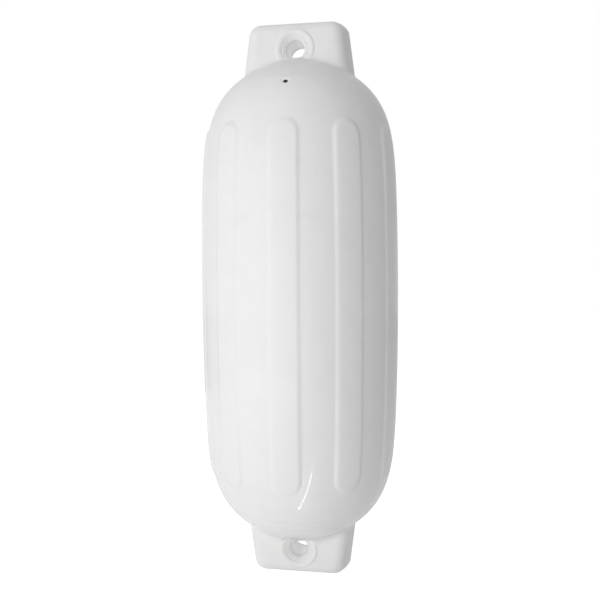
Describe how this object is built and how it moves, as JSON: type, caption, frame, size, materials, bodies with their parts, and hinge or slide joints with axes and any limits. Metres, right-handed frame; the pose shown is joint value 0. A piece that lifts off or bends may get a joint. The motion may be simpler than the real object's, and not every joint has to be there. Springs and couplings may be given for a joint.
{
  "type": "inflatable boat fender",
  "caption": "White ribbed inflatable boat fender: a barrel with long raised pads, domed ends and a flat rope ear with a collared eye at each end, and a needle valve in one dome.",
  "frame": {"origin": "middle of the barrel, on its axis, which is the centre of the overall box", "axes": "+Z along the fender to the ear on the valve's end, X across the ears, and -Y out of the side that the valve is on"},
  "size_m": [0.2732, 0.2766, 0.762],
  "materials": {
    "white_vinyl": "satin white vinyl with a soft gloss",
    "valve_rubber": "matt black rubber"
  },
  "bodies": {
    "root": {"fender_body": "white_vinyl", "inflation_valve": "valve_rubber"}
  },
  "joints": []
}
